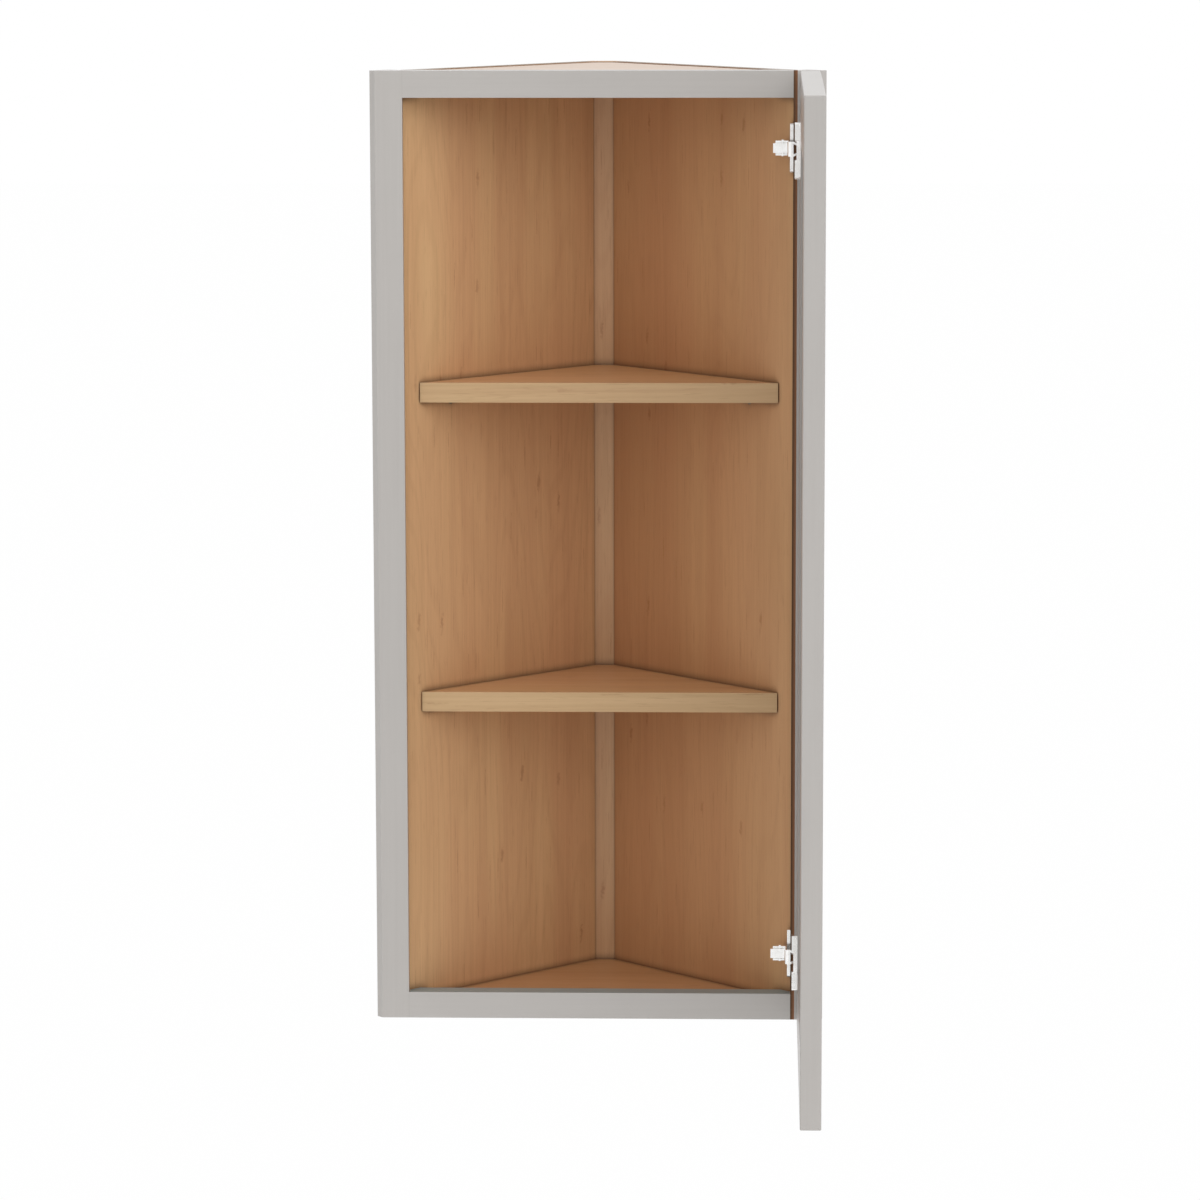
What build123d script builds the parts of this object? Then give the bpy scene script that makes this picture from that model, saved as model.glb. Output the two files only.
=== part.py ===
from build123d import *
from math import sqrt
import os

os.makedirs("parts", exist_ok=True)

# Diagonal wall end cabinet, in millimetres, stored with its door open at a right angle.
# Sizes are thought of from the middle of the front face: u to the right, t into the cabinet,
# z up from the bottom. The origin of the files lies on the side of the hinge stile that
# goes against the wall, at its lower end.

# Carcass
height = 914.4
wall_length = 304.8
panel_thickness = 12.7
panel_end_inset = 0.5
deck_thickness = 15.9
deck_inset = 1.2
post_face = 19.0
post_back = 23.2

# Face frame
frame_thickness = 19.05
stile_width = 30.98
rail_height = 25.4
corner_bevel = 5.2
strip_width = 3.8

# Shelves and their supports. The shafts in the panels are hidden, and flat sided to keep facets few.
bays = 3
shelf_thickness = 19.05
shelf_setback = 21.0
shelf_clearance = 1.3
edging_thickness = 1.0
pin_diameter = 5.0
pin_sides = 12
pin_hole_clearance = 0.05
pin_hole_depth = 9.5
pin_lip_width = 8.0
pin_lip_length = 10.0
pin_lip_thickness = 2.5
pin_from_front = 58.0
pin_from_rear = 62.0

# Door
door_overlay = 22.45
door_gap = 3.0
door_thickness = 19.05
door_frame_width = 63.5
door_panel_thickness = 6.25
door_panel_slip = 0.05
door_panel_edge_gap = 0.5
back_recess = 2.0
groove_depth = 9.5
door_easing = 0.8

# Hinges, measured on the door from its hinge edge and its inner face
hinge_from_bottom = 65.0
hinge_from_top = 72.8
hinge_pin_diameter = 2.2
hinge_pin_clearance = 0.05
hinge_pin_end_gap = 0.2
cup_tab = 3.0
cup_radius = 17.5
cup_bore_clearance = 0.1
cup_depth = 13.0
cup_wall = 1.0
flange_thickness = 1.2
flange_overhang = 0.6
collar_height = 3.7
wing_offset = 10.75
wing_width = 12.0
wing_height = 53.0
wing_corner = 2.5
pad_width = 10.5
pad_height = 5.3
pad_inner = 8.5
pad_corner = 1.5
pad_notch_height = 18.0
pad_notch_width = 1.2
pad_notch_depth = 1.0
cup_screw_spread = 22.5

# Hinge arm and plate
plate_thickness = 3.2
plate_height = 46.3
plate_front = 1.2
plate_back_gap = 0.35
plate_corner = 1.2
channel_reach = 13.65
channel_front = 2.5
channel_back_gap = 0.75
channel_half = 7.0
channel_wall = 1.5
arm_thickness = 2.2
arm_floor_clearance = 0.3
arm_turn_gap = 1.55
arm_bend = 2.6
arm_eye_radius = 1.8
arm_eye_wall_gap = 1.25
arm_eye_floor_gap = 1.15
arm_tip_half = 5.2
ear_side_clearance = 0.3
ear_reach = 2.5
fork_shoulder = 2.4
fork_root_half = 4.8
fork_tip_half = 3.0
arm_neck_gap = 0.3
block_front = 1.5
block_side_gap = 0.95
block_overhang = 2.3
rivet_diameter = 3.0
rivet_end = 0.8
plate_screw_spread = 17.0

# Screws. Their shanks and the holes in the wood are hidden, and flat sided to keep facets few.
screw_radius = 1.75
screw_sides = 12
screw_head_radius = 3.3
screw_head_height = 1.5
screw_head_clearance = 0.05
screw_length = 16.0
screw_tip = 4.0
screw_tip_taper = 20
screw_slot_width = 0.9
screw_slot_length = 4.0
screw_slot_depth = 0.9

# Plan of the carcass. The side faces run at 45 degrees, so u + t is constant along each.
plan_half = wall_length / sqrt(2)
opening_half = plan_half - stile_width
frame_leg = frame_thickness / sqrt(2)
panel_leg = panel_thickness / sqrt(2)
inner_sum = plan_half + corner_bevel - 2 * frame_leg
joint_t = inner_sum - opening_half
post_half = post_face / 2
post_t = inner_sum - post_half
post_back_t = inner_sum + 2 * panel_leg - post_back / 2
panel_length = (post_t - joint_t) * sqrt(2)
deck_half = inner_sum - frame_thickness

# Origin of the files, midway along the side of the hinge stile
wall_u = (plan_half + opening_half + frame_leg) / 2
wall_t = (corner_bevel + joint_t + frame_leg) / 2

# Shelf heights share out the space between the two decks
floor_top = deck_inset + deck_thickness
ceiling = height - deck_inset - deck_thickness
bay_height = (ceiling - floor_top - (bays - 1) * shelf_thickness) / bays
shelf_bottoms = [floor_top + (i + 1) * bay_height + i * shelf_thickness for i in range(bays - 1)]
shelf_names = ("lower", "upper")
shelf_sum = inner_sum - shelf_clearance * sqrt(2)

# Hinge heights, from either end of the door
hinge_heights = (hinge_from_bottom, height - hinge_from_top)
hinge_names = ("lower", "upper")

# Door and hinge pin. The pin sits at the same place in the closed and in the open door.
door_width = 2 * (opening_half + door_overlay)
door_inner_span = door_width - 2 * door_frame_width
groove_width = door_panel_thickness + 2 * door_panel_slip
cup_w = cup_tab + cup_radius
pocket_radius = cup_radius - cup_wall
pocket_depth = cup_depth - cup_wall
pin_inset = cup_tab + cup_wall + arm_eye_wall_gap + arm_eye_radius
pin_depth = pocket_depth - arm_eye_floor_gap - arm_eye_radius
pin_side = cup_w - pin_inset + hinge_pin_diameter / 2
hinge_pin_half = sqrt(cup_radius**2 - pin_side**2) - hinge_pin_end_gap
pin_u = opening_half + door_overlay - pin_inset
pin_t = -door_gap - pin_depth
door_u = pin_u - pin_depth
door_t = pin_t + pin_inset
wing_w = cup_w + wing_offset
plate_u = opening_half - plate_thickness
plate_back = joint_t - plate_back_gap
plate_screw_t = (plate_front + plate_back) / 2
arm_t = -door_gap - pocket_depth + arm_floor_clearance + arm_thickness / 2
arm_turn_u = plate_u - arm_turn_gap
arm_neck_end = channel_front - arm_neck_gap
arm_web_half = channel_half
block_half = channel_half - channel_wall - block_side_gap
ear_inner = arm_tip_half + ear_side_clearance
shoulder_u = door_u - fork_shoulder
channel_back = joint_t - channel_back_gap
channel_floor = channel_back - channel_wall
channel_end = plate_u - channel_reach


def level(z):
    """Horizontal plane at height z, with u and t as its axes."""
    return Plane(origin=(-wall_u, -wall_t, z))


def door_level(z):
    """Horizontal plane on the door: across its width, then into its thickness."""
    return Plane(origin=(door_u - wall_u, door_t - wall_t, z), x_dir=(0, -1, 0), z_dir=(0, 0, 1))


def door_section(w):
    """Upright plane across the door's width: into its thickness, then up."""
    return Plane(origin=(door_u - wall_u, door_t - wall_t - w, 0), x_dir=(1, 0, 0), z_dir=(0, -1, 0))


front = Plane(origin=(-wall_u, -wall_t, 0), x_dir=(1, 0, 0), z_dir=(0, -1, 0))
middle = Plane(origin=(-wall_u, 0, 0), x_dir=(0, 1, 0), z_dir=(1, 0, 0))
jamb = Plane(origin=(opening_half - wall_u, -wall_t, 0), x_dir=(0, -1, 0), z_dir=(-1, 0, 0))
door_face = Plane(origin=(door_u - wall_u, door_t - wall_t, 0), x_dir=(0, -1, 0), z_dir=(-1, 0, 0))
door_middle = Plane(origin=(0, door_t - wall_t - door_width / 2, 0), x_dir=(1, 0, 0), z_dir=(0, 1, 0))
half_height = Plane.XY.offset(height / 2)
panel_face = Plane(
    origin=(opening_half - wall_u, joint_t - wall_t, 0), x_dir=(1, -1, 0), z_dir=(-1, -1, 0)
)

pin_places = (-pin_from_front, pin_from_rear - panel_length)

# Side panels, with the holes of the shelf supports
with BuildPart() as side_panel_right:
    with BuildSketch(level(panel_end_inset)):
        Polygon(
            (opening_half, joint_t),
            (opening_half + panel_leg, joint_t + panel_leg),
            (post_half + panel_leg, post_t + panel_leg),
            (post_half, post_t),
            align=None,
        )
    extrude(amount=height - 2 * panel_end_inset)
    with BuildSketch(panel_face):
        with Locations([(x, z - pin_diameter / 2) for x in pin_places for z in shelf_bottoms]):
            RegularPolygon(pin_diameter / 2 + pin_hole_clearance, pin_sides)
    extrude(amount=-pin_hole_depth, mode=Mode.SUBTRACT)
side_panel_right.part.label = "side_panel_right"
export_step(side_panel_right.part, "parts/side_panel_right.step")

with BuildPart() as side_panel_left:
    mirror(side_panel_right.part, about=middle)
side_panel_left.part.label = "side_panel_left"
export_step(side_panel_left.part, "parts/side_panel_left.step")

# Corner post, which both side panels butt against
with BuildPart() as corner_post:
    with BuildSketch(level(panel_end_inset)):
        Polygon(
            (-post_half, post_t),
            (post_half, post_t),
            (post_half + panel_leg, post_t + panel_leg),
            (post_back / 2, post_back_t),
            (-post_back / 2, post_back_t),
            (-post_half - panel_leg, post_t + panel_leg),
            align=None,
        )
    extrude(amount=height - 2 * panel_end_inset)
corner_post.part.label = "corner_post"
export_step(corner_post.part, "parts/corner_post.step")

# Top and bottom panels, between the sides, the post and the rails
with BuildPart() as bottom_panel:
    with BuildSketch(level(deck_inset)):
        Polygon(
            (-deck_half, frame_thickness),
            (deck_half, frame_thickness),
            (post_half, post_t),
            (-post_half, post_t),
            align=None,
        )
    extrude(amount=deck_thickness)
bottom_panel.part.label = "bottom_panel"
export_step(bottom_panel.part, "parts/bottom_panel.step")

with BuildPart() as top_panel:
    mirror(bottom_panel.part, about=half_height)
top_panel.part.label = "top_panel"
export_step(top_panel.part, "parts/top_panel.step")

# Face frame
with BuildPart() as stile_left:
    with BuildSketch(level(0)):
        Polygon(
            (-opening_half, 0),
            (-opening_half, joint_t),
            (-opening_half - frame_leg, joint_t + frame_leg),
            (-plan_half, corner_bevel),
            (-plan_half + corner_bevel, 0),
            align=None,
        )
    extrude(amount=height)
stile_left.part.label = "stile_left"
export_step(stile_left.part, "parts/stile_left.step")

plate_screw_places = [
    (-plate_screw_t, z + side * plate_screw_spread) for z in hinge_heights for side in (-1, 1)
]
strip_u = opening_half + strip_width

with BuildPart() as hinge_strip:
    with BuildSketch(level(0)):
        Polygon(
            (opening_half, 0),
            (strip_u, 0),
            (strip_u, joint_t + strip_width),
            (opening_half, joint_t),
            align=None,
        )
    extrude(amount=height)
    with BuildSketch(jamb):
        with Locations(plate_screw_places):
            RegularPolygon(screw_radius, screw_sides)
    extrude(amount=-strip_width, mode=Mode.SUBTRACT)
hinge_strip.part.label = "hinge_strip"
export_step(hinge_strip.part, "parts/hinge_strip.step")

with BuildPart() as stile_right:
    with BuildSketch(level(0)):
        Polygon(
            (strip_u, 0),
            (plan_half - corner_bevel, 0),
            (plan_half, corner_bevel),
            (opening_half + frame_leg, joint_t + frame_leg),
            (strip_u, joint_t + strip_width),
            align=None,
        )
    extrude(amount=height)
    with BuildSketch(jamb):
        with Locations(plate_screw_places):
            RegularPolygon(screw_radius, screw_sides)
    extrude(amount=plate_thickness - screw_length, mode=Mode.SUBTRACT)
stile_right.part.label = "stile_right"
export_step(stile_right.part, "parts/stile_right.step")

with BuildPart() as rail_bottom:
    with BuildSketch(level(0)):
        Polygon(
            (-opening_half, 0),
            (opening_half, 0),
            (opening_half, joint_t),
            (deck_half, frame_thickness),
            (-deck_half, frame_thickness),
            (-opening_half, joint_t),
            align=None,
        )
    extrude(amount=rail_height)
rail_bottom.part.label = "rail_bottom"
export_step(rail_bottom.part, "parts/rail_bottom.step")

with BuildPart() as rail_top:
    mirror(rail_bottom.part, about=half_height)
rail_top.part.label = "rail_top"
export_step(rail_top.part, "parts/rail_top.step")

# Shelves: a board and its front edging, resting on four supports each
board_front = shelf_setback + edging_thickness
board_back = post_t - shelf_clearance
for name, bottom in zip(shelf_names, shelf_bottoms):
    with BuildPart() as shelf_board:
        with BuildSketch(level(bottom)):
            Polygon(
                (board_front - shelf_sum, board_front),
                (shelf_sum - board_front, board_front),
                (shelf_sum - board_back, board_back),
                (board_back - shelf_sum, board_back),
                align=None,
            )
        extrude(amount=shelf_thickness)
    shelf_board.part.label = f"shelf_board_{name}"
    export_step(shelf_board.part, f"parts/shelf_board_{name}.step")

    with BuildPart() as shelf_edging:
        with BuildSketch(level(bottom)):
            Polygon(
                (shelf_setback - shelf_sum, shelf_setback),
                (shelf_sum - shelf_setback, shelf_setback),
                (shelf_sum - board_front, board_front),
                (board_front - shelf_sum, board_front),
                align=None,
            )
        extrude(amount=shelf_thickness)
    shelf_edging.part.label = f"shelf_edging_{name}"
    export_step(shelf_edging.part, f"parts/shelf_edging_{name}.step")

    with BuildPart() as shelf_pins:
        with BuildSketch(panel_face.offset(-pin_hole_depth)):
            with Locations([(x, bottom - pin_diameter / 2) for x in pin_places]):
                RegularPolygon(pin_diameter / 2, pin_sides)
        extrude(amount=pin_hole_depth)
        with BuildSketch(panel_face):
            with Locations([(x, bottom - pin_lip_thickness / 2) for x in pin_places]):
                Rectangle(pin_lip_width, pin_lip_thickness)
        extrude(amount=pin_lip_length)
        mirror(shelf_pins.part, about=middle)
    shelf_pins.part.label = f"shelf_pins_{name}"
    export_step(shelf_pins.part, f"parts/shelf_pins_{name}.step")

# Door frame. The free stile is drawn, and the hinge stile is its mirror image with the cup bores.
with BuildPart() as door_stile_free:
    with BuildSketch(door_level(0)):
        with Locations((door_width, 0)):
            Rectangle(door_frame_width, door_thickness, align=(Align.MAX, Align.MIN))
        with Locations((door_width - door_frame_width, back_recess)):
            Rectangle(groove_depth, groove_width, align=(Align.MIN, Align.MIN), mode=Mode.SUBTRACT)
    extrude(amount=height)
    outer_edges = door_stile_free.edges().filter_by(Axis.Z).group_by(Axis.Y)[0]
    for end in (0, -1):
        end_edges = door_stile_free.edges().group_by(Axis.Z)[end]
        outer_edges += end_edges.filter_by(Axis.X).group_by(Axis.Y)[0]
        outer_edges += end_edges.filter_by(Axis.Y).group_by(Axis.X)[0]
        outer_edges += end_edges.filter_by(Axis.Y).group_by(Axis.X)[-1]
    chamfer(outer_edges, door_easing)
door_stile_free.part.label = "door_stile_free"
export_step(door_stile_free.part, "parts/door_stile_free.step")

cup_screw_places = [
    (wing_w, z + side * cup_screw_spread) for z in hinge_heights for side in (-1, 1)
]

with BuildPart() as door_stile_hinge:
    mirror(door_stile_free.part, about=door_middle)
    with BuildSketch(door_face):
        with Locations([(cup_w, z) for z in hinge_heights]):
            Circle(cup_radius + cup_bore_clearance)
    extrude(amount=-cup_depth - cup_bore_clearance, mode=Mode.SUBTRACT)
    with BuildSketch(door_face):
        with Locations(cup_screw_places):
            RegularPolygon(screw_radius, screw_sides)
    extrude(amount=pad_height - screw_length, mode=Mode.SUBTRACT)
door_stile_hinge.part.label = "door_stile_hinge"
export_step(door_stile_hinge.part, "parts/door_stile_hinge.step")

with BuildPart() as door_rail_bottom:
    with BuildSketch(door_section(door_frame_width)):
        Rectangle(door_thickness, door_frame_width, align=(Align.MIN, Align.MIN))
        with Locations((back_recess, door_frame_width)):
            Rectangle(groove_width, groove_depth, align=(Align.MIN, Align.MAX), mode=Mode.SUBTRACT)
    extrude(amount=door_inner_span)
    chamfer(door_rail_bottom.edges().filter_by(Axis.Y).group_by(Axis.Z)[0], door_easing)
    with BuildSketch(door_section(door_frame_width - groove_depth)):
        with Locations((back_recess + door_panel_slip, 0)):
            Rectangle(door_panel_thickness, door_frame_width - groove_depth, align=(Align.MIN, Align.MIN))
    extrude(amount=door_inner_span + 2 * groove_depth)
door_rail_bottom.part.label = "door_rail_bottom"
export_step(door_rail_bottom.part, "parts/door_rail_bottom.step")

with BuildPart() as door_rail_top:
    mirror(door_rail_bottom.part, about=half_height)
door_rail_top.part.label = "door_rail_top"
export_step(door_rail_top.part, "parts/door_rail_top.step")

panel_entry = groove_depth - door_panel_edge_gap
with BuildPart() as door_panel:
    with BuildSketch(door_face.offset(-back_recess - door_panel_slip)):
        with Locations((door_width / 2, height / 2)):
            Rectangle(
                door_inner_span + 2 * panel_entry,
                height - 2 * door_frame_width + 2 * panel_entry,
            )
    extrude(amount=-door_panel_thickness)
door_panel.part.label = "door_panel"
export_step(door_panel.part, "parts/door_panel.step")

# Hinge parts, one set for each height
for name, z in zip(hinge_names, hinge_heights):
    # Plate on the inner edge of the frame, with the channel that takes the arm's block
    with BuildPart(jamb) as hinge_base:
        with BuildSketch(jamb) as plate_outline:
            with Locations((-plate_screw_t, z)):
                Rectangle(plate_back - plate_front, plate_height)
            chamfer(plate_outline.vertices(), plate_corner)
        extrude(amount=plate_thickness)
        with BuildSketch(jamb.offset(plate_thickness)):
            with Locations((-channel_back, z)):
                Rectangle(channel_back - channel_front, 2 * channel_half, align=(Align.MIN, Align.CENTER))
            with Locations((-channel_floor, z)):
                Rectangle(
                    channel_floor - channel_front,
                    2 * (channel_half - channel_wall),
                    align=(Align.MIN, Align.CENTER),
                    mode=Mode.SUBTRACT,
                )
        extrude(amount=channel_reach)
        with BuildSketch(level(z)):
            with Locations((channel_end + channel_reach / 2, (channel_front + channel_floor) / 2)):
                Circle(rivet_diameter / 2)
        extrude(amount=channel_half, both=True, mode=Mode.SUBTRACT)
        with Locations([(-plate_screw_t, z + side * plate_screw_spread, plate_thickness) for side in (-1, 1)]):
            CounterBoreHole(
                screw_radius,
                screw_head_radius + screw_head_clearance,
                screw_head_height,
                plate_thickness,
            )
    hinge_base.part.label = f"hinge_base_{name}"
    export_step(hinge_base.part, f"parts/hinge_base_{name}.step")

    # Arm: a bent neck that ends in a fork round the pin, and the block that sits in the channel
    with BuildPart() as hinge_arm:
        with BuildSketch(level(z)):
            with BuildLine():
                FilletPolyline(
                    (pin_u, pin_t),
                    (door_u, arm_t),
                    (arm_turn_u, arm_t),
                    (arm_turn_u, arm_neck_end),
                    radius=arm_bend,
                )
            trace(line_width=arm_thickness)
            with Locations((pin_u, pin_t)):
                Circle(arm_eye_radius)
        extrude(amount=arm_web_half, both=True)
        with BuildSketch(front):
            with Locations((0, z)):
                Polygon(
                    (arm_turn_u - arm_thickness, -block_half),
                    (arm_turn_u, -arm_web_half),
                    (opening_half, -arm_web_half),
                    (shoulder_u, -arm_tip_half),
                    (pin_u + arm_eye_radius, -arm_tip_half),
                    (pin_u + arm_eye_radius, arm_tip_half),
                    (shoulder_u, arm_tip_half),
                    (opening_half, arm_web_half),
                    (arm_turn_u, arm_web_half),
                    (arm_turn_u - arm_thickness, block_half),
                    align=None,
                )
        extrude(amount=2 * pocket_depth, both=True, mode=Mode.INTERSECT)
        with BuildSketch(front):
            with Locations((0, z)):
                Polygon(
                    (opening_half, -fork_root_half),
                    (shoulder_u, -fork_tip_half),
                    (plan_half, -fork_tip_half),
                    (plan_half, fork_tip_half),
                    (shoulder_u, fork_tip_half),
                    (opening_half, fork_root_half),
                    align=None,
                )
        extrude(amount=2 * pocket_depth, mode=Mode.SUBTRACT)
        with BuildSketch(level(z - block_half)):
            with Locations((channel_end - block_overhang, block_front)):
                Rectangle(
                    arm_turn_u + arm_thickness / 2 - channel_end + block_overhang,
                    channel_floor - block_front,
                    align=(Align.MIN, Align.MIN),
                )
        extrude(amount=2 * block_half)
        with BuildSketch(level(z)):
            with Locations((pin_u, pin_t)):
                Circle(hinge_pin_diameter / 2 + hinge_pin_clearance)
            with Locations((channel_end + channel_reach / 2, (channel_front + channel_floor) / 2)):
                Circle(rivet_diameter / 2)
        extrude(amount=arm_web_half, both=True, mode=Mode.SUBTRACT)
    hinge_arm.part.label = f"hinge_arm_{name}"
    export_step(hinge_arm.part, f"parts/hinge_arm_{name}.step")

    # Cup in the door's stile, with its flange, two raised screw pads and two ears for the pin
    with BuildPart(door_face) as hinge_cup:
        with BuildSketch(door_face):
            with Locations((cup_w, z)):
                Circle(cup_radius)
        extrude(amount=-cup_depth)
        with BuildSketch(door_face) as flange_outline:
            with Locations((wing_w, z)):
                Rectangle(wing_width, wing_height)
            chamfer(flange_outline.vertices(), wing_corner)
            with Locations((cup_w, z)):
                Circle(cup_radius + flange_overhang)
        extrude(amount=flange_thickness)
        pad_length = wing_height / 2 - pad_inner
        with BuildSketch(door_face.offset(flange_thickness)) as pad_outlines:
            with Locations([(wing_w, z + side * (pad_inner + pad_length / 2)) for side in (-1, 1)]):
                Rectangle(pad_width, pad_length)
            chamfer(pad_outlines.vertices(), pad_corner)
        extrude(amount=pad_height - flange_thickness)
        with BuildSketch(door_face):
            with Locations((cup_w, z)):
                Circle(cup_radius + flange_overhang)
            with Locations((wing_w - pad_width / 2, z)):
                Rectangle(
                    2 * cup_radius, wing_height, align=(Align.MAX, Align.CENTER), mode=Mode.SUBTRACT
                )
        extrude(amount=collar_height)
        with BuildSketch(door_face.offset(flange_thickness)):
            with Locations([(wing_w + pad_width / 2, z + side * pad_notch_height) for side in (-1, 1)]):
                Rectangle(2 * pad_notch_depth, pad_notch_width)
        extrude(amount=pad_height, mode=Mode.SUBTRACT)
        with BuildSketch(door_face.offset(pad_height)):
            with Locations((cup_w, z)):
                Circle(pocket_radius)
            with Locations([(cup_tab, z + side * (ear_inner + cup_radius / 2)) for side in (-1, 1)]):
                Rectangle(
                    pin_inset + ear_reach - cup_tab,
                    cup_radius,
                    align=(Align.MIN, Align.CENTER),
                    mode=Mode.SUBTRACT,
                )
        extrude(amount=-pad_height - pocket_depth, mode=Mode.SUBTRACT)
        with BuildSketch(door_level(z)):
            with Locations((pin_inset, pin_depth)):
                Circle(hinge_pin_diameter / 2)
        extrude(amount=cup_radius, both=True, mode=Mode.SUBTRACT)
        with Locations([(wing_w, z + side * cup_screw_spread, pad_height) for side in (-1, 1)]):
            CounterBoreHole(
                screw_radius,
                screw_head_radius + screw_head_clearance,
                screw_head_height,
                pad_height,
            )
    hinge_cup.part.label = f"hinge_cup_{name}"
    export_step(hinge_cup.part, f"parts/hinge_cup_{name}.step")

with BuildPart() as hinge_pins:
    for z in hinge_heights:
        with BuildSketch(level(z)):
            with Locations((pin_u, pin_t)):
                Circle(hinge_pin_diameter / 2)
        extrude(amount=hinge_pin_half, both=True)
hinge_pins.part.label = "hinge_pins"
export_step(hinge_pins.part, "parts/hinge_pins.step")

with BuildPart() as arm_rivets:
    for z in hinge_heights:
        with BuildSketch(level(z)):
            with Locations((channel_end + channel_reach / 2, (channel_front + channel_floor) / 2)):
                Circle(rivet_diameter / 2)
        extrude(amount=channel_half + rivet_end, both=True)
arm_rivets.part.label = "arm_rivets"
export_step(arm_rivets.part, "parts/arm_rivets.step")

# Screws: a flat head with a cross recess, a shank and a point
for name, plane, places in (
    ("plate_screws", jamb.offset(plate_thickness), plate_screw_places),
    ("cup_screws", door_face.offset(pad_height), cup_screw_places),
):
    with BuildPart() as screws:
        with BuildSketch(plane):
            with Locations(places):
                Circle(screw_head_radius)
        extrude(amount=-screw_head_height)
        with BuildSketch(plane.offset(-screw_head_height)):
            with Locations(places):
                RegularPolygon(screw_radius, screw_sides)
        extrude(amount=screw_head_height + screw_tip - screw_length)
        with BuildSketch(plane.offset(screw_tip - screw_length)):
            with Locations(places):
                RegularPolygon(screw_radius, screw_sides)
        extrude(amount=-screw_tip, taper=screw_tip_taper)
        with BuildSketch(plane):
            with Locations(places):
                Rectangle(screw_slot_length, screw_slot_width)
                Rectangle(screw_slot_width, screw_slot_length)
        extrude(amount=-screw_slot_depth, mode=Mode.SUBTRACT)
    screws.part.label = name
    export_step(screws.part, f"parts/{name}.step")
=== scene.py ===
"""Looks of the wall end cabinet: paint, maple, plywood, nickel, studio light and the photo's camera."""

import math
from typing import NamedTuple

import bpy
from mathutils import Matrix, Vector

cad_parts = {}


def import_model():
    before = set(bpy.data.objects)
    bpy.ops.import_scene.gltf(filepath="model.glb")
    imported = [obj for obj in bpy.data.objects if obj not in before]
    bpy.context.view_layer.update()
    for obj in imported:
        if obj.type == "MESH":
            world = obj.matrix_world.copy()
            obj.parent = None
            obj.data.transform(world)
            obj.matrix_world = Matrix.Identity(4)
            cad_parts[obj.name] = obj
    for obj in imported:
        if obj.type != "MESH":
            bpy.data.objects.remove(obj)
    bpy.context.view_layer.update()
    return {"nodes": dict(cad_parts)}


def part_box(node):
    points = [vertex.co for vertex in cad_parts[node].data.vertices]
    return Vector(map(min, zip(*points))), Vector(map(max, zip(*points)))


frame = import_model()
nodes = frame["nodes"]

X_AXIS = (1, 0, 0)
Y_AXIS = (0, 1, 0)
Z_AXIS = (0, 0, 1)
ROOT = math.sqrt(0.5)


# Small helpers for materials


def new_material(name):
    """An empty node material with its shader and output."""
    material = bpy.data.materials.new(name)
    material.use_nodes = True
    tree = material.node_tree
    tree.nodes.clear()
    output = tree.nodes.new("ShaderNodeOutputMaterial")
    shader = tree.nodes.new("ShaderNodeBsdfPrincipled")
    tree.links.new(shader.outputs["BSDF"], output.inputs["Surface"])
    return material, tree, shader


def add(tree, kind, **values):
    """A node whose properties and sockets are set by name."""
    node = tree.nodes.new(kind)
    for name, value in values.items():
        if name in node.inputs.keys():
            node.inputs[name].default_value = value
        else:
            setattr(node, name, value)
    return node


def srgb(red, green, blue):
    """A linear colour from 0 to 255 values as they look on screen."""
    def linear(v):
        v = v / 255
        return v / 12.92 if v <= 0.04045 else ((v + 0.055) / 1.055) ** 2.4
    return (linear(red), linear(green), linear(blue), 1.0)


def math_node(tree, operation, first, second=None):
    """The result of a sum, product or other operation on sockets or numbers."""
    node = add(tree, "ShaderNodeMath", operation=operation)
    for socket, value in zip(node.inputs, (first, second)):
        if value is None:
            continue
        if isinstance(value, (int, float)):
            socket.default_value = value
        else:
            tree.links.new(value, socket)
    return node.outputs["Value"]


def times(tree, first, second):
    """The product of two sockets, or of a socket and a number."""
    return math_node(tree, "MULTIPLY", first, second)


def mix(tree, factor, first, second, blend="MIX"):
    """A mix of two colours, each a socket or a constant."""
    node = tree.nodes.new("ShaderNodeMix")
    node.data_type = "RGBA"
    node.blend_type = blend
    if isinstance(factor, (int, float)):
        node.inputs["Factor"].default_value = factor
    else:
        tree.links.new(factor, node.inputs["Factor"])
    for name, value in (("A", first), ("B", second)):
        socket = [s for s in node.inputs if s.name == name and s.type == "RGBA"][0]
        if isinstance(value, tuple):
            socket.default_value = value
        else:
            tree.links.new(value, socket)
    return [s for s in node.outputs if s.type == "RGBA"][0]


def curve(tree, value, low, high, to_low=0.0, to_high=1.0, smooth=False):
    """Value mapped from one range to another, and kept inside it."""
    node = add(tree, "ShaderNodeMapRange")
    node.interpolation_type = "SMOOTHSTEP" if smooth else "LINEAR"
    node.inputs["From Min"].default_value = low
    node.inputs["From Max"].default_value = high
    node.inputs["To Min"].default_value = to_low
    node.inputs["To Max"].default_value = to_high
    tree.links.new(value, node.inputs["Value"])
    return node.outputs["Result"]


def stain(tree, mask, low, high, amount, colour, shade, smooth=False):
    """The colour with a shade mixed in: none where the mask is low, the amount where it is high."""
    return mix(tree, curve(tree, mask, low, high, 0.0, amount, smooth), colour, shade)


def over(tree, mask, amount, colour, shade):
    """The colour with a shade mixed in by the amount where the mask is one."""
    return mix(tree, times(tree, mask, amount), colour, shade)


def bump(tree, shader, height, strength, distance):
    """Bump from a height socket."""
    node = add(tree, "ShaderNodeBump", Strength=strength, Distance=distance)
    tree.links.new(height, node.inputs["Height"])
    tree.links.new(node.outputs["Normal"], shader.inputs["Normal"])


# Places, directions and masks


def place_in_piece(tree):
    """The point's place in its piece. At rest that is the row frame, and it moves with the piece."""
    return add(tree, "ShaderNodeTexCoord").outputs["Object"]


def components(tree, vector):
    """The X, Y and Z sockets of a vector socket."""
    node = add(tree, "ShaderNodeSeparateXYZ")
    tree.links.new(vector, node.inputs["Vector"])
    return node.outputs


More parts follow.
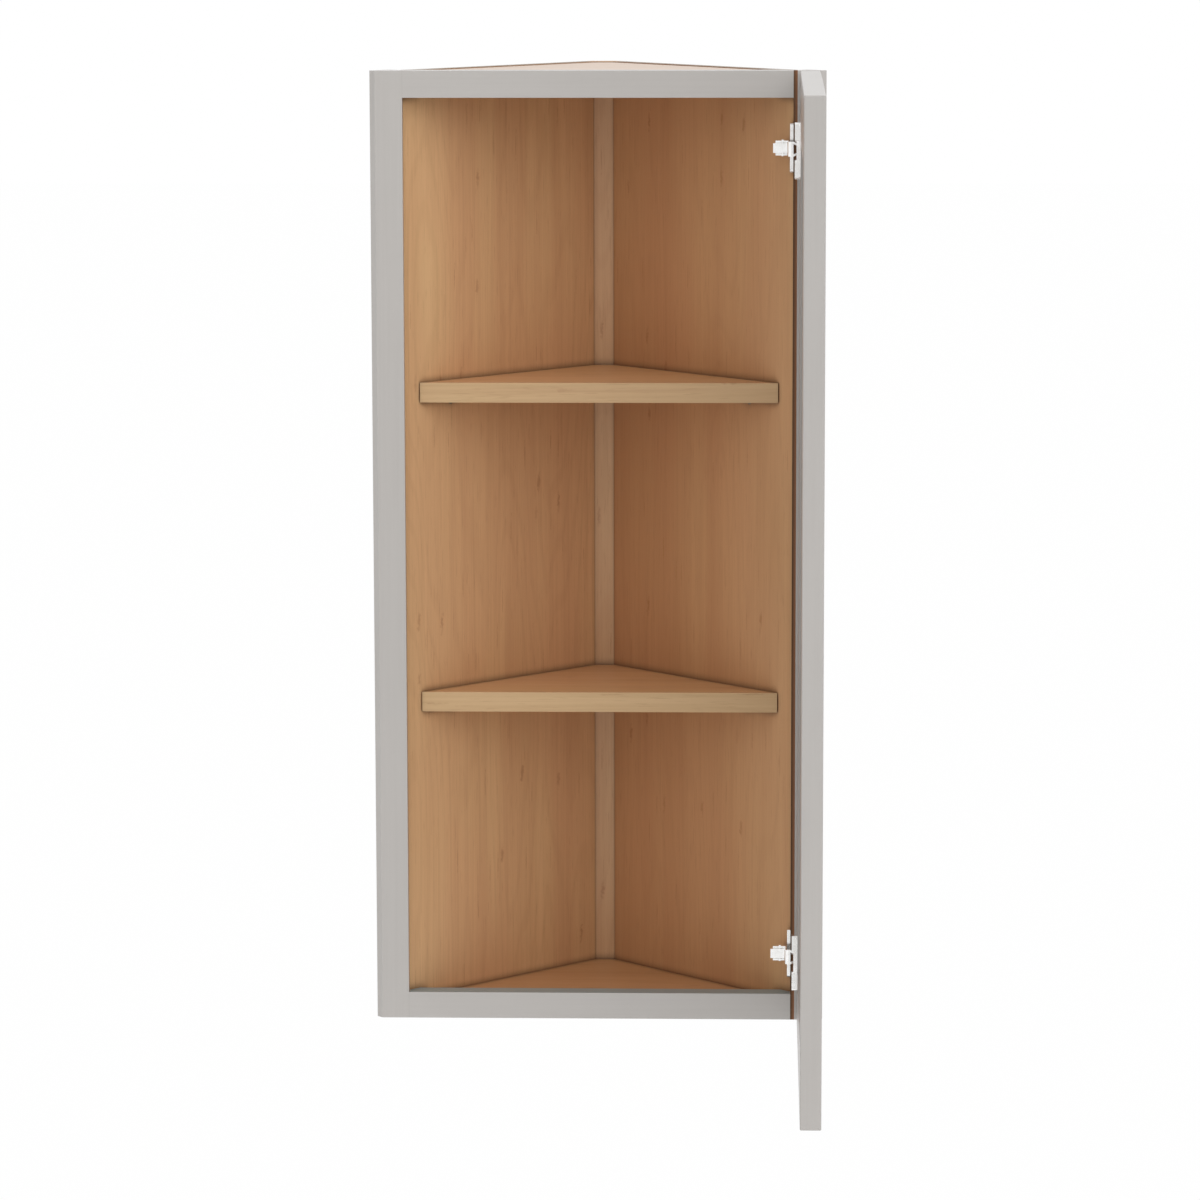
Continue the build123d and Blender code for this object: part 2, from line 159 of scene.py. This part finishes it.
def facing(tree):
    """The X, Y and Z of the direction that the surface faces."""
    return components(tree, add(tree, "ShaderNodeNewGeometry").outputs["Normal"])


def looks_up(tree):
    """One on faces that look up."""
    return curve(tree, facing(tree)["Z"], 0.8, 0.95)


def looks_forward(tree):
    """One on faces that look to the front of the cabinet, also at 45 degrees."""
    return curve(tree, facing(tree)["Y"], -0.6, -0.4, 1.0, 0.0)


def reach_along(tree, vector, direction):
    """How far a vector socket reaches along a direction."""
    node = add(tree, "ShaderNodeVectorMath", operation="DOT_PRODUCT")
    node.inputs[1].default_value = direction
    tree.links.new(vector, node.inputs[0])
    return node.outputs["Value"]


def plane_distance(tree, place, normal, offset):
    """Distance of the point from a plane, positive on the side that the normal points to."""
    return math_node(tree, "SUBTRACT", reach_along(tree, place, normal), offset)


def line(tree, distance, half_width, soft):
    """One near the plane, falling to nothing past the half width."""
    away = math_node(tree, "ABSOLUTE", distance)
    return curve(tree, away, half_width, half_width + soft, 1.0, 0.0, smooth=True)


# Occlusion that darkens the wood's colour in its corners and gaps, as painted shade
CORNER_SHADE_REACH = 0.008
CORNER_SHADE_SAMPLES = 8


def painted_corner_shade(tree):
    """Painted shade mask from occlusion: one in a tight corner or gap, falling to nothing where no other
    surface is within reach.
    """
    node = add(tree, "ShaderNodeAmbientOcclusion", Distance=CORNER_SHADE_REACH)
    node.samples = CORNER_SHADE_SAMPLES
    return curve(tree, node.outputs["AO"], 0.35, 0.95, 1.0, 0.0)


def along_axis(along, ratio):
    """Scale factors that stretch a texture along one axis."""
    return tuple(ratio if axis == along else 1.0 for axis in "XYZ")


def noise(tree, place, scale, stretch=(1, 1, 1), detail=3.0, roughness=0.5, offset=(0, 0, 0)):
    """Noise over the object, stretched along some axes. Scale is in waves per metre."""
    mapping = add(tree, "ShaderNodeMapping")
    mapping.inputs["Scale"].default_value = stretch
    mapping.inputs["Location"].default_value = offset
    texture = add(tree, "ShaderNodeTexNoise", Scale=scale, Detail=detail, Roughness=roughness)
    tree.links.new(place, mapping.inputs["Vector"])
    tree.links.new(mapping.outputs["Vector"], texture.inputs["Vector"])
    return texture.outputs["Fac"]


SPECK_WARP = 260
SPECK_WOBBLE = 0.16


def specks(tree, place, across, along, offset, width, length, size, share):
    """Sparse small spots in the face, long along the grain, with at most one in each cell.

    Width and length are the cell's, in metres. Size is the spot's, in cells. Share is the part of the
    cells that have a spot.
    """
    warp = noise(tree, place, SPECK_WARP, detail=1)
    wobble = times(tree, math_node(tree, "SUBTRACT", warp, 0.5), SPECK_WOBBLE)
    flat = add(tree, "ShaderNodeCombineXYZ")
    for axis, direction, cell, shift in (
        ("X", across, width, offset[0]),
        ("Y", along, length, offset[1]),
    ):
        step = plane_distance(tree, place, tuple(v / cell for v in direction), -shift)
        tree.links.new(math_node(tree, "ADD", step, wobble), flat.inputs[axis])
    cells = add(tree, "ShaderNodeTexVoronoi", voronoi_dimensions="2D", Scale=1.0)
    tree.links.new(flat.outputs["Vector"], cells.inputs["Vector"])
    spot = curve(tree, cells.outputs["Distance"], 0.1 * size, size, 1.0, 0.0, smooth=True)
    chance = components(tree, cells.outputs["Color"])["X"]
    kept = curve(tree, chance, 1 - share, 1 - 0.3 * share)
    return times(tree, spot, kept)


# Paint

PAINT_GRAIN = srgb(120, 114, 108)
PAINT_JOINT = srgb(110, 104, 98)
PAINT_CLOUD = 3
# Darker grey-blue for the ledge's top: partly painted shade, partly a duller finish
LEDGE_TOP_SHADE = srgb(139, 154, 156)
LEDGE_FADE = 0.001


def ledge_mask(tree, place, start, end):
    """One on faces that look up, from start to end along X."""
    x = components(tree, place)["X"]
    from_start = curve(tree, x, start, start + LEDGE_FADE)
    to_end = curve(tree, x, end - LEDGE_FADE, end, 1.0, 0.0)
    return times(tree, looks_up(tree), times(tree, from_start, to_end))


def paint(name, along, tone, joints=(), ledge=None):
    """Sprayed satin paint over maple. Its grain shows a little, and its joints as hair lines.

    A ledge is given by its start and end along X, and its top gets a darker grey-blue, partly painted
    shade and partly a duller finish.
    """
    material, tree, shader = new_material(name)
    place = place_in_piece(tree)
    grain = noise(tree, place, 300, along_axis(along, 0.02), detail=4)
    cloud = noise(tree, place, 7, detail=2)
    peel = noise(tree, place, 1400, detail=2)
    darker = srgb(*(value - PAINT_CLOUD for value in tone))
    colour = mix(tree, curve(tree, cloud, 0.3, 0.7), srgb(*tone), darker)
    colour = mix(tree, curve(tree, grain, 0.35, 0.60, 0.035, 0.0), colour, PAINT_GRAIN)
    for normal, offset in joints:
        distance = plane_distance(tree, place, normal, offset)
        seam = line(tree, distance, half_width=0.0001, soft=0.0004)
        colour = over(tree, seam, 0.11, colour, PAINT_JOINT)
    if ledge:
        # Painted shade, partly a duller finish, on the ledge's top
        colour = mix(tree, ledge_mask(tree, place, *ledge), colour, LEDGE_TOP_SHADE)
    tree.links.new(colour, shader.inputs["Base Color"])
    shader.inputs["Roughness"].default_value = 0.30
    shader.inputs["Specular IOR Level"].default_value = 0.45
    height = math_node(tree, "ADD", times(tree, peel, 0.5), grain)
    bump(tree, shader, height, strength=0.06, distance=0.0004)
    return material


# Wood

FIGURE_WAVES = 150.0
FIGURE = srgb(150, 104, 68)
STRAND = srgb(160, 112, 72)
FIBRE = srgb(158, 112, 76)
PORE = srgb(140, 94, 60)
DASH = srgb(140, 86, 46)
FLECK = srgb(130, 70, 30)

RAW_LIGHT = srgb(216, 195, 179)
RAW_DARK = srgb(208, 186, 168)
RAW_FIBRE = srgb(170, 150, 132)

PLY_LIGHT = srgb(152, 127, 98)
PLY_DARK = srgb(114, 90, 65)
PLY_END = srgb(98, 70, 48)

# Colour of the painted shade along seams
WOOD_SEAM_SHADE = srgb(84, 48, 26)
# Colour of the painted shade in corners and gaps
WOOD_CORNER_SHADE = srgb(72, 38, 18)

FRONT_EDGE = -0.005
FRONT_FADE_END = 0.065


class Plies(NamedTuple):
    """Plywood: the way its plies are stacked, where they start, its thickness and the number of plies.

    Flat says that the board lies flat, so that its plies show on its sides.
    """

    stack: tuple
    start: float
    thickness: float
    count: int
    flat: bool


def maple(tree, place, along, across, offset, tones):
    """Maple's colour, with figure, strands, pores and flecks, and the bands and fibre that it uses."""
    light, dark, warm = tones

    def layer(scale, stretch, detail, roughness=0.5):
        return noise(tree, place, scale, along_axis(along, stretch), detail, roughness, offset)

    bands = layer(22, 0.05, detail=2)
    hue = layer(9, 0.4, detail=1)
    field = layer(11, 0.10, detail=2, roughness=0.4)
    figure = math_node(tree, "SINE", times(tree, field, FIGURE_WAVES))
    strands = layer(150, 0.02, detail=3, roughness=0.6)
    fibre = layer(520, 0.010, detail=4, roughness=0.6)
    pores = layer(900, 0.05, detail=2)

    colour = mix(tree, curve(tree, bands, 0.35, 0.65, smooth=True), light, dark)
    colour = stain(tree, hue, 0.40, 0.62, 0.45, colour, warm, smooth=True)
    colour = stain(tree, figure, 0.3, 1.0, 0.07, colour, FIGURE, smooth=True)
    colour = stain(tree, strands, 0.42, 0.70, 0.11, colour, STRAND)
    colour = stain(tree, fibre, 0.40, 0.68, 0.14, colour, FIBRE)
    colour = stain(tree, pores, 0.60, 0.74, 0.22, colour, PORE)

    grain = Z_AXIS if along == "Z" else X_AXIS
    dash = specks(
        tree, place, across, grain, offset, width=0.009, length=0.17, size=0.11, share=0.8
    )
    colour = over(tree, dash, 0.28, colour, DASH)
    fleck = specks(
        tree, place, across, grain, offset, width=0.026, length=0.12, size=0.10, share=0.40
    )
    return over(tree, fleck, 0.36, colour, FLECK), bands, fibre


def painted_front_light_mask(tree, place, inner):
    """Painted light mask: strongest at the front edge of the inner faces, and fading behind it."""
    depth = components(tree, place)["Y"]
    near = curve(tree, depth, FRONT_EDGE, FRONT_FADE_END, 0.75, 0.0, smooth=True)
    return times(tree, near, inner)


def raw_maple(tree, bands, fibre):
    """The pale wood of a face without lacquer."""
    colour = mix(tree, curve(tree, bands, 0.3, 0.7), RAW_LIGHT, RAW_DARK)
    return stain(tree, fibre, 0.35, 0.65, 0.2, colour, RAW_FIBRE)


def ply_layers(tree, place, plies):
    """Light and dark plies in turn, with end grain."""
    depth = plane_distance(tree, place, plies.stack, plies.start)
    wave = math_node(tree, "SINE", times(tree, depth, math.pi * plies.count / plies.thickness))
    colour = mix(tree, curve(tree, wave, -0.15, 0.15), PLY_LIGHT, PLY_DARK)
    end = noise(tree, place, 700, detail=3)
    return stain(tree, end, 0.35, 0.65, 0.4, colour, PLY_END)


def ply_mask(tree, plies):
    """One where the plies show: on the sides of a flat board, or on the ends of an upright one."""
    steep = math_node(tree, "ABSOLUTE", facing(tree)["Z"])
    if plies.flat:
        return curve(tree, steep, 0.3, 0.5, 1.0, 0.0)
    return curve(tree, steep, 0.5, 0.7)


def wood(name, along, across, offset, tones, plies=None, pale_top=False, seam_shade_planes=(), front=None):
    """Lacquered maple, solid or as plywood, with painted shade along its seams and in its corners and
    gaps.

    Front is a factor on the colour that makes the inner faces paler towards their front edge, as painted
    light near the opening.
    """
    material, tree, shader = new_material(name)
    place = place_in_piece(tree)
    colour, bands, fibre = maple(tree, place, along, across, offset, tones)
    inner = looks_forward(tree)
    # Painted light: the inner faces are made paler near the opening
    if front:
        paler = mix(tree, 1.0, colour, front, blend="MULTIPLY")
        colour = mix(tree, painted_front_light_mask(tree, place, inner), colour, paler)
    if pale_top:
        colour = mix(tree, looks_up(tree), colour, raw_maple(tree, bands, fibre))
    if plies:
        colour = mix(tree, ply_mask(tree, plies), colour, ply_layers(tree, place, plies))
    # Painted shade: a dark line along each seam on the faces that look to the front
    for normal, seam_place in seam_shade_planes:
        distance = plane_distance(tree, place, normal, seam_place)
        seam = line(tree, distance, half_width=0.0002, soft=0.0011)
        colour = over(tree, times(tree, seam, inner), 0.28, colour, WOOD_SEAM_SHADE)
    # Painted shade: occlusion darkens the wood in its corners and gaps
    colour = over(tree, painted_corner_shade(tree), 0.76, colour, WOOD_CORNER_SHADE)
    tree.links.new(colour, shader.inputs["Base Color"])
    tree.links.new(curve(tree, fibre, 0.3, 0.7, 0.38, 0.48), shader.inputs["Roughness"])
    shader.inputs["Specular IOR Level"].default_value = 0.35
    bump(tree, shader, fibre, strength=0.06, distance=0.0003)
    return material


# Strip colours: the dark brown is partly painted shade, and the inner edge's colour is a painted shadow
# of the gap
STRIP_GAP_SHADE = srgb(80, 58, 38)
STRIP_LIGHT = srgb(148, 98, 66)
STRIP_BAND = srgb(118, 82, 54)
STRIP_FIBRE = srgb(84, 56, 36)


def strip_wood(name, along, low, high):
    """The unpainted strip beside the hinge stile: dark brown, partly as painted shade of the open door,
    and darkest along its inner edge as a painted shadow of the gap there.
    """
    material, tree, shader = new_material(name)
    place = place_in_piece(tree)
    fibre = noise(tree, place, 520, along_axis(along, 0.012), detail=4, roughness=0.6)
    bands = noise(tree, place, 60, along_axis(along, 0.05), detail=2)
    # Painted shadow of the gap: darkest at the strip's inner edge, paler towards the hinge stile
    side = curve(tree, components(tree, place)["X"], low, high, smooth=True)
    colour = mix(tree, side, STRIP_GAP_SHADE, STRIP_LIGHT)
    colour = stain(tree, bands, 0.35, 0.65, 0.3, colour, STRIP_BAND)
    colour = stain(tree, fibre, 0.40, 0.68, 0.2, colour, STRIP_FIBRE)
    tree.links.new(colour, shader.inputs["Base Color"])
    tree.links.new(curve(tree, fibre, 0.3, 0.7, 0.5, 0.6), shader.inputs["Roughness"])
    shader.inputs["Specular IOR Level"].default_value = 0.3
    bump(tree, shader, fibre, strength=0.08, distance=0.0003)
    return material


# Metal


def nickel(name, clean, cloudy, roughness):
    """Nickel plate with faint marks from stamping and polishing."""
    material, tree, shader = new_material(name)
    place = place_in_piece(tree)
    cloud = noise(tree, place, 160, detail=3)
    brush = noise(tree, place, 2200, along_axis("Z", 0.04), detail=2)
    colour = mix(tree, curve(tree, cloud, 0.3, 0.7), clean, cloudy)
    streaks = curve(tree, brush, 0.3, 0.7, roughness, roughness + 0.06)
    haze = curve(tree, cloud, 0.3, 0.7, 0.0, 0.05)
    tree.links.new(colour, shader.inputs["Base Color"])
    tree.links.new(math_node(tree, "ADD", haze, streaks), shader.inputs["Roughness"])
    shader.inputs["Metallic"].default_value = 0.9
    bump(tree, shader, brush, strength=0.08, distance=0.0001)
    return material


# Which piece has which look. Places come from the frame's boxes, in metres in the row frame.


def dress(material, *names):
    """The material goes on these CAD nodes."""
    for name in names:
        slots = nodes[name].data.materials
        slots.clear()
        slots.append(material)


FRAME_TONE = (188, 184, 180)
DOOR_TONE = (184, 180, 176)


def dress_frame():
    """Painted stiles and rails of the face frame. The bottom rail's top is the ledge of the opening."""
    rail_low, rail_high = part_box("rail_bottom")
    opening = (rail_low.x, rail_high.x)
    joints = ((X_AXIS, rail_high.x), (X_AXIS, rail_low.x))
    dress(paint("paint_frame_stiles", "Z", FRAME_TONE, joints), "stile_left", "stile_right")
    dress(paint("paint_top_rail", "X", FRAME_TONE, joints), "rail_top")
    dress(paint("paint_bottom_rail", "X", FRAME_TONE, joints, ledge=opening), "rail_bottom")


def dress_door():
    """Painted stiles, rails and panel of the door."""
    hinge_stile_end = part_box("door_stile_hinge")[0].y
    free_stile_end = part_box("door_stile_free")[1].y
    joints = ((Y_AXIS, hinge_stile_end), (Y_AXIS, free_stile_end))
    stiles = paint("paint_door_stiles", "Z", DOOR_TONE, joints)
    dress(stiles, "door_stile_hinge", "door_stile_free", "door_panel")
    dress(paint("paint_door_rails", "Y", DOOR_TONE, joints), "door_rail_top", "door_rail_bottom")


PANEL_THICKNESS = 0.0127
PANEL_PLIES = 7
DECK_PLIES = 9
SHELF_PLIES = 11

# Across the grain of a board that lies flat: along Y on its faces, and along Z on its edges
FLAT_ACROSS = (0, 1, 1)

# The left panel's veneer is paler than the right's: partly a real difference between panels, partly
# painted light
RIGHT_TONES = (srgb(194, 147, 104), srgb(185, 136, 95), srgb(192, 140, 100))
LEFT_TONES = (srgb(215, 172, 126), srgb(206, 160, 117), srgb(211, 161, 119))
POST_TONES = (srgb(206, 168, 127), srgb(196, 155, 115), srgb(203, 161, 122))
DECK_TONES = (srgb(200, 156, 111), srgb(190, 145, 102), srgb(197, 149, 108))
BOARD_TONES = (srgb(208, 164, 118), srgb(198, 152, 109), srgb(205, 156, 115))
EDGING_TONES = (srgb(206, 174, 131), srgb(198, 164, 122), srgb(204, 170, 130))
# Factors of painted light that make each side panel's inner face paler near the opening
RIGHT_FRONT_LIGHT = (1.16, 1.32, 1.38, 1.0)
LEFT_FRONT_LIGHT = (1.09, 1.18, 1.20, 1.0)


def flat_plies(name, count):
    """The plies of a board that lies flat, from its underside up."""
    low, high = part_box(name)
    return Plies(Z_AXIS, low.z, high.z - low.z, count, flat=True)


def dress_carcass():
    """Side panels at 45 degrees, the post between them, the strip, and the floor and top panels."""
    post_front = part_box("corner_post")[0].y
    right_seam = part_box("side_panel_right")[0].x
    left_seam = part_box("side_panel_left")[1].x
    # Planes of the seams where painted shade lies: the post's joints with the side panels, and the floor
    # and top panels' joints with them
    seam_shade_planes = (
        (X_AXIS, right_seam),
        (X_AXIS, left_seam),
        (Z_AXIS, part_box("bottom_panel")[1].z),
        (Z_AXIS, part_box("top_panel")[0].z),
    )
    for side, sign, seam, offset, tones, front in (
        ("right", 1, right_seam, (3, 1, 0), RIGHT_TONES, RIGHT_FRONT_LIGHT),
        ("left", -1, left_seam, (9, 5, 2), LEFT_TONES, LEFT_FRONT_LIGHT),
    ):
        outward = (sign * ROOT, ROOT, 0)
        across = (ROOT, -sign * ROOT, 0)
        inner_face = (sign * seam + post_front) * ROOT
        plies = Plies(outward, inner_face, PANEL_THICKNESS, PANEL_PLIES, flat=False)
        veneer = wood(f"veneer_{side}", "Z", across, offset, tones, plies, seam_shade_planes=seam_shade_planes, front=front)
        dress(veneer, f"side_panel_{side}")
    dress(wood("maple_post", "Z", X_AXIS, (1, 7, 4), POST_TONES, seam_shade_planes=seam_shade_planes), "corner_post")
    strip_low, strip_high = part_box("hinge_strip")
    dress(strip_wood("maple_strip", "Z", strip_low.x, strip_high.x), "hinge_strip")
    for name, panel, offset, pale_top in (
        ("veneer_floor", "bottom_panel", (2, 4, 6), False),
        ("veneer_top", "top_panel", (6, 3, 1), True),
    ):
        plies = flat_plies(panel, DECK_PLIES)
        dress(wood(name, "X", FLAT_ACROSS, offset, DECK_TONES, plies, pale_top), panel)


def dress_shelves():
    """Plywood boards with solid edging. Each has its grain shifted, so no two look alike."""
    for order, name in enumerate(("lower", "upper")):
        plies = flat_plies(f"shelf_board_{name}", SHELF_PLIES)
        shift = (order * 4 + 1, 8, 3)
        board = wood(f"veneer_shelf_{name}", "X", FLAT_ACROSS, shift, BOARD_TONES, plies)
        dress(board, f"shelf_board_{name}")
        shift = (order * 5 + 2, 6, 9)
        edging = wood(f"maple_edging_{name}", "X", FLAT_ACROSS, shift, EDGING_TONES)
        dress(edging, f"shelf_edging_{name}")


def dress_hardware():
    """Bright nickel on the hinges with their rivets and screws, and dull nickel on the shelf supports."""
    hinges = [name for name in nodes if name.startswith("hinge_") and name != "hinge_strip"]
    bright = nickel("nickel_bright", srgb(255, 255, 254), srgb(250, 249, 247), roughness=0.12)
    dress(bright, *hinges, "arm_rivets", "plate_screws", "cup_screws")
    dull = nickel("nickel_dull", srgb(150, 138, 122), srgb(138, 126, 110), roughness=0.40)
    dress(dull, "shelf_pins_lower", "shelf_pins_upper")


dress_frame()
dress_door()
dress_carcass()
dress_shelves()
dress_hardware()


# Camera: the photo's point of view, fitted to corners measured in the photo. Lengths are in metres,
# angles in radians, and lens and sensor in millimetres.

CAMERA_PLACE = (-0.05239, -4.818107, 1.157781)
CAMERA_YAW = -0.03184
CAMERA_PITCH = -0.15428
CAMERA_ROLL = -0.002
CAMERA_LENS = 152.6
CAMERA_SENSOR = 36.0
CAMERA_CLIP_END = 100


def camera():
    """The photo's camera. It looks along the cabinet's depth, turned by its yaw, pitch and roll."""
    data = bpy.data.cameras.new("camera")
    data.lens = CAMERA_LENS
    data.sensor_width = CAMERA_SENSOR
    data.clip_end = CAMERA_CLIP_END
    holder = bpy.data.objects.new("camera", data)
    bpy.context.scene.collection.objects.link(holder)
    yaw, pitch, roll = CAMERA_YAW, CAMERA_PITCH, CAMERA_ROLL
    level = math.cos(pitch)
    forward = Vector((math.sin(yaw) * level, math.cos(yaw) * level, math.sin(pitch)))
    right = Vector((math.cos(yaw), -math.sin(yaw), 0))
    up = right.cross(forward)
    right, up = (
        math.cos(roll) * right + math.sin(roll) * up,
        -math.sin(roll) * right + math.cos(roll) * up,
    )
    turn = Matrix((right, up, -forward)).transposed().to_4x4()
    holder.matrix_world = Matrix.Translation(CAMERA_PLACE) @ turn
    bpy.context.scene.camera = holder


camera()


# Floor, light and world

FLOOR_LEVEL = -1.372
FLOOR_REACH = 30
FLOOR_WHITE = 0.96


def seen_directly(tree):
    """One for what the camera sees, also in a mirror or through glass."""
    path = add(tree, "ShaderNodeLightPath")
    both = math_node(tree, "MAXIMUM", path.outputs["Is Camera Ray"], path.outputs["Is Glossy Ray"])
    return math_node(tree, "MAXIMUM", both, path.outputs["Is Transmission Ray"])


def blend_shaders(tree, factor, first, second):
    """A mix of two shaders."""
    node = add(tree, "ShaderNodeMixShader")
    tree.links.new(factor, node.inputs["Fac"])
    tree.links.new(first, node.inputs[1])
    tree.links.new(second, node.inputs[2])
    return node.outputs["Shader"]


def floor():
    """A pale floor, as far down as under a hung wall cabinet. It looks white, with a trace of shadow."""
    mesh = bpy.data.meshes.new("floor")
    corners = ((-1, -1), (1, -1), (1, 1), (-1, 1))
    points = [(x * FLOOR_REACH, y * FLOOR_REACH, FLOOR_LEVEL) for x, y in corners]
    mesh.from_pydata(points, [], [(0, 1, 2, 3)])
    piece = bpy.data.objects.new("floor", mesh)
    bpy.context.scene.collection.objects.link(piece)
    material, tree, shader = new_material("floor_white")
    shader.inputs["Base Color"].default_value = (0.8, 0.8, 0.8, 1)
    shader.inputs["Roughness"].default_value = 0.9
    glow = add(tree, "ShaderNodeEmission", Strength=1.0)
    output = [n for n in tree.nodes if n.type == "OUTPUT_MATERIAL"][0]
    white_part = times(tree, seen_directly(tree), FLOOR_WHITE)
    surface = blend_shaders(tree, white_part, shader.outputs["BSDF"], glow.outputs["Emission"])
    tree.links.new(surface, output.inputs["Surface"])
    mesh.materials.append(material)


# Soft lights of the studio dome: where each lies, how narrow it is, and its strength

LIGHTS = (
    ((0.0, 0.0, 1.0), 2.0, 1.00),
    ((0.6, -1.0, 0.9), 4.0, 1.58),
    ((1.0, -1.0, 0.3), 3.0, 0.10),
    ((0.0, -1.0, 0.1), 12.0, 0.40),
    ((-1.0, -0.3, 0.0), 2.0, 0.27),
    ((-0.4, 1.0, 0.4), 2.0, 0.52),
)
EVEN_LIGHT = 0.12


def world():
    """Soft light, mostly from above and the front right. Where it is seen, the world is plain white."""
    scene_world = bpy.data.worlds.new("studio")
    scene_world.use_nodes = True
    tree = scene_world.node_tree
    tree.nodes.clear()
    output = tree.nodes.new("ShaderNodeOutputWorld")
    direction = add(tree, "ShaderNodeTexCoord").outputs["Generated"]
    level = EVEN_LIGHT
    for aim, sharpness, weight in LIGHTS:
        towards = reach_along(tree, direction, Vector(aim).normalized())
        lit_side = math_node(tree, "MAXIMUM", towards, 0.0)
        lobe = times(tree, math_node(tree, "POWER", lit_side, sharpness), weight)
        level = math_node(tree, "ADD", lobe, level)
    light = add(tree, "ShaderNodeBackground", Color=(1, 1, 1, 1))
    tree.links.new(level, light.inputs["Strength"])
    white = add(tree, "ShaderNodeBackground", Color=(1, 1, 1, 1), Strength=1.0)
    lit, seen = light.outputs["Background"], white.outputs["Background"]
    surface = blend_shaders(tree, seen_directly(tree), lit, seen)
    tree.links.new(surface, output.inputs["Surface"])
    bpy.context.scene.world = scene_world


floor()
world()

bpy.context.scene.view_settings.view_transform = "Standard"
